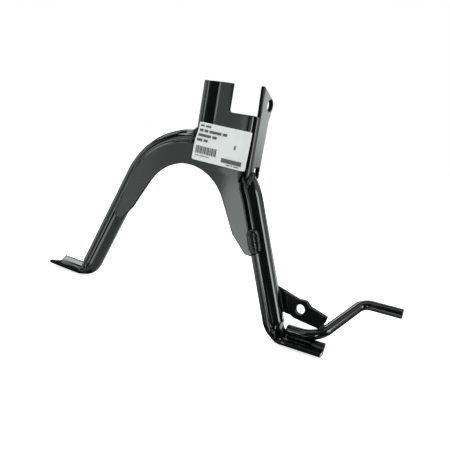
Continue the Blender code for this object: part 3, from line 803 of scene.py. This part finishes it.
def paper_label(look):
    """The paper label, laid on the web and round the right bend."""
    width, height = LABEL_SIZE
    corners = [(label_place(a * width / 2, b * height / 2), LABEL_CORNER)
               for a, b in ((-1, 1), (1, 1), (1, -1), (-1, -1))]
    builder = sheet_solid(rounded(corners, LABEL_CORNER_STEP), LABEL_THICKNESS, LABEL_RIM)
    score(builder, fold_planes())
    fold_all(builder, GAP + LABEL_THICKNESS)
    return object_from(builder, "greeked_label", (look, look))


def print_bars():
    """Plain bars that stand for print: (left, right, bottom, top) from the label's middle."""
    bars = []
    for left, top, height, lengths, gap in WORD_ROWS:
        for length in lengths:
            bars.append((left, left + length, top - height, top))
            left += length + gap
    left = STRIPE_START
    for index in range(STRIPES):
        width = STRIPE_WIDTHS[index % len(STRIPE_WIDTHS)]
        bars.append((left, left + width, *STRIPE_HEIGHTS))
        left += width + STRIPE_GAPS[index % len(STRIPE_GAPS)]
    return bars


def label_print(look):
    """Plain bars in place of the label's print, as one thin mesh just over the paper."""
    builder = bmesh.new()
    for left, right, bottom, top in print_bars():
        corners = [label_place(x, z) for x, z in ((left, bottom), (right, bottom), (right, top), (left, top))]
        builder.faces.new([builder.verts.new((point.x, 0, point.y)) for point in corners])
    builder.normal_update()
    score(builder, fold_planes())
    fold_all(builder, GAP + LABEL_THICKNESS + INK_LIFT)
    printed = object_from(builder, "label_print", look)
    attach(printed, "root")


def foot_point(run, side, lift):
    """A point beside the right foot: run past the knee corner, side behind and lift over its axis."""
    _, knee, toe = knee_geometry()
    out = (toe - knee).normalized()
    place = knee + out * run + Vector((-out.y, out.x)) * lift
    return Vector((place.x, TUBE_Y + side, place.y))


def lever_corners():
    """Corners of the lever's centre line: start, bend behind the foot, bend to the peg, end."""
    start = foot_point(LEVER_START, LEVER_SIDE, LEVER_LIFT)
    corner = foot_point(LEVER_CORNER, LEVER_SIDE, LEVER_LIFT)
    knuckle = corner + LEVER_REACH
    return start, corner, knuckle, knuckle + PEG_REACH


def foot_lever(look):
    """The bent round bar, with slightly rounded ends."""
    start, corner, knuckle, end = lever_corners()
    path = filleted_path([(start, 0), (corner, LEVER_BEND), (knuckle, PEG_BEND), (end, 0)], ARC_STEP / 2)
    radius = LEVER_DIAMETER / 2
    first = (corner - start).normalized()
    last = (end - knuckle).normalized()
    angles = [math.pi / 2 * i / LEVER_EDGE_STEPS for i in range(LEVER_EDGE_STEPS + 1)]
    edge = [(LEVER_EDGE * (1 - math.sin(a)), LEVER_EDGE * (1 - math.cos(a))) for a in angles]
    head = [(start + first * depth, radius - inset) for depth, inset in reversed(edge)]
    tail = [(end - last * depth, radius - inset) for depth, inset in edge]
    body = [(point, radius) for point in path[1:-1]]
    points, radii = zip(*(head + body + tail))
    return bar("painted_foot_lever", points, radii, LEVER_SIDES, look)


def tab_hole_middle():
    """Middle of the stop tab's hole in the X-Z plane."""
    hole = foot_point(TAB_HOLE_SIDE, 0, TAB_HOLE_LIFT)
    return Vector((hole.x, hole.z))


def stop_tab(look, edge_look):
    """The flat tab with its round hole."""
    middle = tab_hole_middle()
    outline = rounded([(middle + Vector((x, z)), radius) for x, z, radius in TAB_OUTLINE])
    builder = sheet_solid(outline, TAB_THICKNESS, TAB_RIM, [circle(middle, TAB_HOLE / 2)])
    for vertex in builder.verts:
        vertex.co.y += TAB_SETBACK
    return object_from(builder, "painted_stop_tab", (look, edge_look))


def weld(name, path, radius, look, seed, first_side=None, flatness=1.0):
    """A weld bead with ripples and a little unevenness, run along a seam."""
    length = sum((b - a).length for a, b in zip(path, path[1:]))
    count = max(WELD_STEPS_LEAST, int(length / WELD_STEP))
    points = []
    for i in range(count + 1):
        place = i / count * (len(path) - 1)
        index = min(int(place), len(path) - 2)
        points.append(path[index].lerp(path[index + 1], place - index))
    builder = bmesh.new()
    rings = []
    for index, (point, (side, up)) in enumerate(zip(points, bar_frames(points, first_side))):
        share = index / count
        closing = max(0.0, 1 - abs(2 * share - 1) ** WELD_END_POWER)
        ends = max(WELD_END_RADIUS, math.sqrt(closing))
        ripple = RIPPLE * math.sin(2 * math.pi * share * length / RIPPLE_PITCH)
        ring = []
        for i in range(WELD_SIDES):
            angle = 2 * math.pi * i / WELD_SIDES
            outward = side * math.cos(angle) + up * math.sin(angle) * flatness
            noise_place = (point + outward * radius) * WELD_NOISE_SCALE + Vector((seed, 0, 0))
            rough = WELD_ROUGHNESS * noise.noise(noise_place)
            ring.append(point + outward * ((radius + ripple + rough) * ends))
        rings.append(ring)
    skin_rings(builder, rings)
    return object_from(builder, name, look, SHARP_WELD_EDGE)


def along(first, last, count):
    """Evenly spaced points on a straight run."""
    return [first.lerp(last, i / (count - 1)) for i in range(count)]


def edge_path(start, end, lift, count=9):
    """Points over the web's outer arc between two angles from the vertical, for a bead along it."""
    points = []
    for i in range(count):
        angle = math.pi / 2 + start + (end - start) * i / (count - 1)
        flat = EDGE_CENTRE + polar(EDGE_RADIUS + lift, angle)
        points.append(Vector((flat.x, SEAM_Y, flat.y)))
    return points


def straight_edge_path(side, seam, lift, y, count=9):
    """Points along the web's straight outer edge, between two shares of its length."""
    _, start, end = web_edge(side)
    run = end - start
    outward = Vector((-run.y, run.x)).normalized() * side
    flat = along(start + run * seam[0] + outward * lift, start + run * seam[1] + outward * lift, count)
    return [Vector((point.x, y, point.y)) for point in flat]


def leg_seam_path(count=9):
    """Points down the right leg, where the front face of the stop tab meets the tube."""
    top, knee, _ = knee_geometry()
    down = (knee - top).normalized()
    outward = Vector((-down.y, down.x))
    across = TAB_SETBACK - TUBE_Y
    offset = math.sqrt(TUBE_RADIUS ** 2 - across ** 2) + TAB_SEAM_OUT
    level = (tab_hole_middle() - top).dot(down)
    ends = [top + down * (level + seam) + outward * offset for seam in TAB_SEAM]
    return [Vector((point.x, TAB_SETBACK - TAB_SEAM_FRONT, point.y)) for point in along(*ends, count)]


def lever_seam_path(count=9):
    """Points along the lever's front side, where it lies in the pressed right foot."""
    first = foot_point(LEVER_START + LEVER_SEAM[0], LEVER_SEAM_SIDE, LEVER_SEAM_LIFT)
    last = foot_point(LEVER_CORNER + LEVER_SEAM[1], LEVER_SEAM_SIDE, LEVER_SEAM_LIFT)
    return along(first, last, count)


def tab_corner_path(count=7):
    """Points down the stop tab's lower right corner, over the lever."""
    corner = tab_hole_middle() + Vector(TAB_CORNER)
    ends = [corner + offset for offset in TAB_CORNER_SEAM]
    return [Vector((point.x, TAB_SETBACK + TAB_THICKNESS, point.y)) for point in along(*ends, count)]


def flange_weld_path(side, count=9):
    """Points over the leg tube along the foot of a flange's front tongue."""
    points = []
    run = TONGUE_DEPTH - RELIEF_DEPTH - 2 * FLANGE_SEAM_MARGIN
    for i in range(count):
        depth = RELIEF_DEPTH + FLANGE_SEAM_MARGIN + run * i / (count - 1)
        across = WEB_FRONT + depth - TUBE_Y
        reach = ARCH_RADIUS + math.sqrt(max(0, TUBE_RADIUS ** 2 - across ** 2))
        x = side * (HALF_WIDTH + FLANGE_SEAM_OUT)
        height = ARCH_CENTRE.y + math.sqrt(reach ** 2 - (x - ARCH_CENTRE.x) ** 2)
        points.append(Vector((x, WEB_FRONT + depth, height + FLANGE_SEAM_LIFT)))
    return points


def pad_side():
    """Direction across the wide pad of weld, leaning back from the web to the tube."""
    _, start, end = web_edge(1)
    run = (end - start).normalized()
    return Vector((-run.y * math.cos(PAD_LEAN), math.sin(PAD_LEAN), run.x * math.cos(PAD_LEAN)))


def add_welds(look):
    """Every weld bead, in place of its plain CAD bead."""
    rows = [
        ("weld_crown", edge_path(*CROWN_SEAM, BEAD_LIFT), BEAD),
        ("weld_shoulder", edge_path(*SHOULDER_SEAM, BEAD_LIFT), BEAD),
        ("weld_left_leg", straight_edge_path(-1, LEFT_LEG_SEAM, BEAD_LIFT, SEAM_Y), BEAD),
        ("weld_right_flange", flange_weld_path(1), FLANGE_BEAD),
        ("weld_left_flange", flange_weld_path(-1), FLANGE_BEAD),
        ("weld_tab_leg", leg_seam_path(), TAB_BEAD),
        ("weld_tab_lever", tab_corner_path(), TAB_CORNER_BEAD),
        ("weld_lever_foot", lever_seam_path(), LEVER_BEAD),
    ]
    for seed, (node, path, radius) in enumerate(rows):
        dress(weld("painted_" + node, path, radius, look, seed), node)
    pad_path = straight_edge_path(1, PAD_SEAM, PAD_LIFT, WEB_FRONT + SHEET * PAD_DEPTH)
    flatness = PAD_HEIGHT / PAD_WIDTH
    pad = weld("painted_weld_right_leg", pad_path, PAD_WIDTH / 2, look, len(rows), pad_side(), flatness)
    dress(pad, "weld_right_leg")


def principled(name, colour, roughness):
    """A new Principled material, with its node tree and shader."""
    made = bpy.data.materials.new(name)
    made.use_nodes = True
    shader = made.node_tree.nodes["Principled BSDF"]
    shader.inputs["Base Color"].default_value = (*colour, 1)
    shader.inputs["Roughness"].default_value = roughness
    return made, made.node_tree, shader


def object_noise(tree, scale, detail=3.0):
    """A noise texture in object coordinates. Returns its factor output."""
    place = tree.nodes.new("ShaderNodeTexCoord")
    texture = tree.nodes.new("ShaderNodeTexNoise")
    texture.inputs["Scale"].default_value = scale
    texture.inputs["Detail"].default_value = detail
    tree.links.new(place.outputs["Object"], texture.inputs["Vector"])
    return texture.outputs["Fac"]


def ranged(tree, source, low, high):
    """Maps a 0 to 1 output onto a range."""
    node = tree.nodes.new("ShaderNodeMapRange")
    node.inputs["To Min"].default_value = low
    node.inputs["To Max"].default_value = high
    tree.links.new(source, node.inputs["Value"])
    return node.outputs["Result"]


def add_bump(tree, shader, height, strength, distance):
    """Raises a shader's surface by a height texture."""
    bump = tree.nodes.new("ShaderNodeBump")
    bump.inputs["Strength"].default_value = strength
    bump.inputs["Distance"].default_value = distance
    tree.links.new(height, bump.inputs["Height"])
    tree.links.new(bump.outputs["Normal"], shader.inputs["Normal"])


def gloss_paint(name, smoothest, roughest, peel, specular=0.5):
    """Black enamel on steel, with a faint orange peel and a soft unevenness of its gloss."""
    made, tree, shader = principled(name, PAINT_COLOUR, smoothest)
    shader.inputs["Specular IOR Level"].default_value = specular
    roughness = ranged(tree, object_noise(tree, GLOSS_SCALE), smoothest, roughest)
    tree.links.new(roughness, shader.inputs["Roughness"])
    add_bump(tree, shader, object_noise(tree, PEEL_SCALE, BUMP_DETAIL), peel, PEEL_HEIGHT)
    return made


def paper():
    """Slightly glossy white label paper with a fine tooth."""
    made, tree, shader = principled("label_paper", PAPER_COLOUR, PAPER_ROUGHNESS)
    tooth = object_noise(tree, PAPER_TOOTH_SCALE, BUMP_DETAIL)
    add_bump(tree, shader, tooth, PAPER_TOOTH, PAPER_TOOTH_HEIGHT)
    return made


def ink():
    """Dark grey print, a little uneven."""
    made, tree, shader = principled("label_ink", INK_COLOUR, INK_ROUGHNESS)
    ramp = tree.nodes.new("ShaderNodeValToRGB")
    ramp.color_ramp.elements[0].color = INK_DARKEST
    ramp.color_ramp.elements[1].color = INK_PALEST
    tree.links.new(object_noise(tree, INK_SCALE), ramp.inputs["Fac"])
    tree.links.new(ramp.outputs["Color"], shader.inputs["Base Color"])
    return made


def build_pieces():
    """All pieces of the stand."""
    paint = gloss_paint("gloss_black_enamel", smoothest=0.04, roughest=0.09, peel=0.02)
    edge_paint = gloss_paint("enamel_on_cut_edge", smoothest=0.4, roughest=0.6, peel=0.3, specular=0.04)
    dress(leg_tube(paint), "leg_tube")
    dress(bridge_plate(paint, edge_paint), "bridge_plate")
    dress(foot_lever(paint), "foot_lever")
    dress(stop_tab(paint, edge_paint), "stop_tab")
    dress(paper_label(paper()), "blank_label")
    label_print(ink())
    add_welds(paint)


def math_node(tree, operation, first, second=None):
    """A math node. Numbers go in as values and sockets as links."""
    node = tree.nodes.new("ShaderNodeMath")
    node.operation = operation
    for socket, value in zip(node.inputs, (first, second)):
        if value is None:
            continue
        if isinstance(value, (int, float)):
            socket.default_value = value
        else:
            tree.links.new(value, socket)
    return node.outputs["Value"]


def window(tree, source, low, high, low_ease, high_ease):
    """1 where the source lies between low and high, easing to 0 outside."""
    masks = []
    for edge, outer in ((low, low - low_ease), (high, high + high_ease)):
        node = tree.nodes.new("ShaderNodeMapRange")
        node.interpolation_type = "SMOOTHSTEP"
        node.inputs["From Min"].default_value = outer
        node.inputs["From Max"].default_value = edge
        tree.links.new(source, node.inputs["Value"])
        masks.append(node.outputs["Result"])
    return math_node(tree, "MULTIPLY", *masks)


# Soft boxes of the studio. Each row holds an azimuth range with the easing at its two ends,
# an elevation range with its easing, in degrees, and a strength.
# Azimuth 0 is straight in front of the web, and grows to the right.
SOFT_BOXES = [
    (-28.2, -20, 0.4, 14, -13, -5, 1, 2.5, 2.6),
    (-28.2, -5, 1, 8, -3, 60, 2, 10, 1.15),
    (-25.6, -23.6, 1, 1.2, -2, 3, 1.5, 3, 2.5),
    (-28.7, -22, 0.8, 8, -13, -7, 1, 6, 4.4),
    (-20, -13, 3, 4, -12, -8, 3, 4, 8.0),
    (-29, -26, 1.5, 1, -20, -13, 3, 2, 7.0),
    (-44, -37, 3, 4, -20, 30, 4, 10, 1.45),
    (-38, -29, 4, 1, -20, 30, 4, 10, 1.0),
    (-45, -35, 1.5, 2.5, 0.3, 3, 1.6, 1.5, 3.8),
    (-61, -59.5, 0.8, 0.8, -30, 20, 4, 8, 2.5),
    (-112, -64, 6, 4, -24, 18, 8, 7, 1.0),
    (-112, -84, 6, 6, 28, 40, 4, 3, 1.7),
    (-67, -56, 3, 2, 39.5, 46, 2, 1.5, 8.5),
    (-100, -84, 4, 4, 50, 56, 1.5, 3, 6.5),
    (-150, -124, 6, 5, 38, 58, 4, 4, 4.5),
    (-168, -156, 3, 4, 5, 14, 3, 5, 0.45),
    (-39, -33, 3, 3, -40, -24, 4, 3, 5.0),
    (16, 33, 3, 3, -3, 0, 2, 1.5, 1.1),
    (-70, 150, 10, 10, 60, 90, 6, 1, 1.2),
    (42, 49, 2, 2, -14, 2, 4, 3, 10.0),
    (83, 97, 4, 9, 11, 32, 4, 6, 9.0),
    (95, 106, 4, 3, -4, 2, 4, 4, 5.5),
    (98, 135, 6, 12, -2, 40, 6, 10, 1.1),
    (144, 164, 5, 8, 0.5, 7, 9, 5, 3.4),
    (-3, 12, 8, 14, -35, -27, 5, 4, 3.8),
    (-20, 140, 10, 20, -75, -40, 5, 6, 0.7),
    (158, 180, 6, 1, -50, -14, 6, 6, 1.1),
    (-180, -157, 1, 8, -50, -14, 6, 6, 1.1),
    (160, 180, 8, 1, 18, 45, 5, 8, 1.8),
    (-180, -154, 1, 4, 18, 50, 5, 8, 2.4),
]
AMBIENT = 0.04
STUDIO_TINT = (0.94, 1.0, 0.975, 1)


def studio_world():
    """Soft boxes round the stand for light and reflections, and plain white behind it for the camera."""
    world = bpy.data.worlds.new("studio")
    world.use_nodes = True
    tree = world.node_tree
    tree.nodes.clear()
    place = tree.nodes.new("ShaderNodeTexCoord")
    split = tree.nodes.new("ShaderNodeSeparateXYZ")
    tree.links.new(place.outputs["Generated"], split.inputs["Vector"])
    x, y, z = (split.outputs[axis] for axis in "XYZ")
    front = math_node(tree, "MULTIPLY", y, -1.0)
    azimuth = math_node(tree, "DEGREES", math_node(tree, "ARCTAN2", x, front))
    elevation = math_node(tree, "DEGREES", math_node(tree, "ARCSINE", z))
    total = 0.0
    for left, right, left_ease, right_ease, bottom, top, bottom_ease, top_ease, strength in SOFT_BOXES:
        across = window(tree, azimuth, left, right, left_ease, right_ease)
        upright = window(tree, elevation, bottom, top, bottom_ease, top_ease)
        mask = math_node(tree, "MULTIPLY", across, upright)
        total = math_node(tree, "MAXIMUM", total, math_node(tree, "MULTIPLY", mask, strength))
    total = math_node(tree, "ADD", total, AMBIENT)
    studio = tree.nodes.new("ShaderNodeBackground")
    studio.inputs["Color"].default_value = STUDIO_TINT
    tree.links.new(total, studio.inputs["Strength"])
    backdrop = tree.nodes.new("ShaderNodeBackground")
    backdrop.inputs["Color"].default_value = (1, 1, 1, 1)
    backdrop.inputs["Strength"].default_value = 1.0
    rays = tree.nodes.new("ShaderNodeLightPath")
    mix = tree.nodes.new("ShaderNodeMixShader")
    tree.links.new(rays.outputs["Is Camera Ray"], mix.inputs["Fac"])
    tree.links.new(studio.outputs["Background"], mix.inputs[1])
    tree.links.new(backdrop.outputs["Background"], mix.inputs[2])
    output = tree.nodes.new("ShaderNodeOutputWorld")
    tree.links.new(mix.outputs["Shader"], output.inputs["Surface"])
    bpy.context.scene.world = world


def floor():
    """A plain pale floor under the feet, which keeps the soft shadow."""
    builder = bmesh.new()
    bmesh.ops.create_grid(builder, x_segments=1, y_segments=1, size=FLOOR_SIZE)
    mesh = bpy.data.meshes.new("floor")
    builder.to_mesh(mesh)
    builder.free()
    made, tree, shader = principled("floor_white", FLOOR_COLOUR, FLOOR_ROUGHNESS)
    shader.inputs["Specular IOR Level"].default_value = 0.0
    rays = tree.nodes.new("ShaderNodeLightPath")
    shader.inputs["Emission Color"].default_value = (1, 1, 1, 1)
    glow = math_node(tree, "MULTIPLY", rays.outputs["Is Camera Ray"], FLOOR_GLOW)
    tree.links.new(glow, shader.inputs["Emission Strength"])
    mesh.materials.append(made)
    plane = bpy.data.objects.new("floor", mesh)
    plane.location.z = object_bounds()[0].z - FLOOR_DROP
    plane.visible_glossy = False
    bpy.context.collection.objects.link(plane)
    plane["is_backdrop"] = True


def key_light():
    """One large soft light from above and in front."""
    data = bpy.data.lights.new("key", "AREA")
    data.shape = "RECTANGLE"
    data.size = KEY_SIZE
    data.size_y = KEY_SIZE
    data.energy = KEY_POWER
    lamp = bpy.data.objects.new("key", data)
    lamp.location = KEY_PLACE
    lamp.rotation_euler = (KEY_AIM - KEY_PLACE).to_track_quat("-Z", "Y").to_euler()
    lamp.visible_glossy = False
    bpy.context.collection.objects.link(lamp)


def camera():
    """The camera at the photograph's place and angle."""
    forward = Vector((-math.sin(CAMERA_YAW) * math.cos(CAMERA_PITCH),
                      math.cos(CAMERA_YAW) * math.cos(CAMERA_PITCH),
                      -math.sin(CAMERA_PITCH)))
    right = Vector((math.cos(CAMERA_YAW), math.sin(CAMERA_YAW), 0))
    down = forward.cross(right)
    rolled_right = right * math.cos(CAMERA_ROLL) + down * math.sin(CAMERA_ROLL)
    rolled_down = down * math.cos(CAMERA_ROLL) - right * math.sin(CAMERA_ROLL)
    data = bpy.data.cameras.new("camera")
    data.lens = CAMERA_LENS
    data.sensor_width = SENSOR
    data.clip_start = CLIP_START
    made = bpy.data.objects.new("camera", data)
    turn = Matrix((rolled_right, -rolled_down, -forward)).transposed()
    made.matrix_world = Matrix.Translation(CAMERA_PLACE) @ turn.to_4x4()
    bpy.context.collection.objects.link(made)
    bpy.context.scene.camera = made


build_pieces()
floor()
key_light()
studio_world()
camera()
bpy.context.scene.view_settings.view_transform = "Standard"
